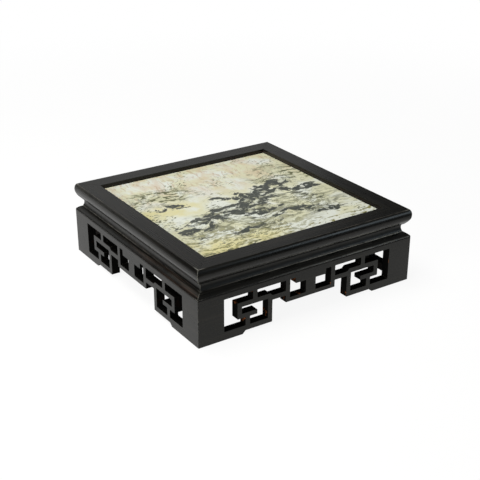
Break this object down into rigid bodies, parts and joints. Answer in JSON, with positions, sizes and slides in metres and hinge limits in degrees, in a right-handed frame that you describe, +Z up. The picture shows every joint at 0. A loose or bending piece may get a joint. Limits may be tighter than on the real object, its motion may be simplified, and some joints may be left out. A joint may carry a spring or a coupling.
{
  "type": "wooden display stand",
  "caption": "Low square dark hardwood stand: moulded mitred frame round a marble slab, narrow waist, and pierced fretwork apron boards whose ends form the feet.",
  "frame": {"origin": "on the ground under the middle of the stand", "axes": "+Z up; -Y is the front; the rails with tenons are at front and back"},
  "size_m": [0.34, 0.34, 0.105],
  "materials": {
    "black_wood": "satin black stain and lacquer on close-grained hardwood",
    "plain_wood": "unlacquered, thin dark stain",
    "bamboo": "bare split bamboo",
    "marble": "polished marble, pale cream and green ground with a dark cloudy band"
  },
  "bodies": {
    "root": {"frame_rail_front": "black_wood", "frame_rail_right": "black_wood", "frame_rail_back": "black_wood", "frame_rail_left": "black_wood", "waist_front": "black_wood", "waist_right": "black_wood", "waist_back": "black_wood", "waist_left": "black_wood", "shoulder_front": "black_wood", "shoulder_right": "black_wood", "shoulder_back": "black_wood", "shoulder_left": "black_wood", "apron_front": "black_wood", "apron_right": "black_wood", "apron_back": "black_wood", "apron_left": "black_wood", "corner_post_front_left": "plain_wood", "corner_post_front_right": "plain_wood", "corner_post_back_right": "plain_wood", "corner_post_back_left": "plain_wood", "frame_pin_front_a": "bamboo", "frame_pin_front_b": "bamboo", "frame_pin_right_a": "bamboo", "frame_pin_right_b": "bamboo", "frame_pin_back_a": "bamboo", "frame_pin_back_b": "bamboo", "frame_pin_left_a": "bamboo", "frame_pin_left_b": "bamboo", "stone_panel": "marble", "panel_batten_left": "plain_wood", "panel_batten_right": "plain_wood"}
  },
  "joints": []
}
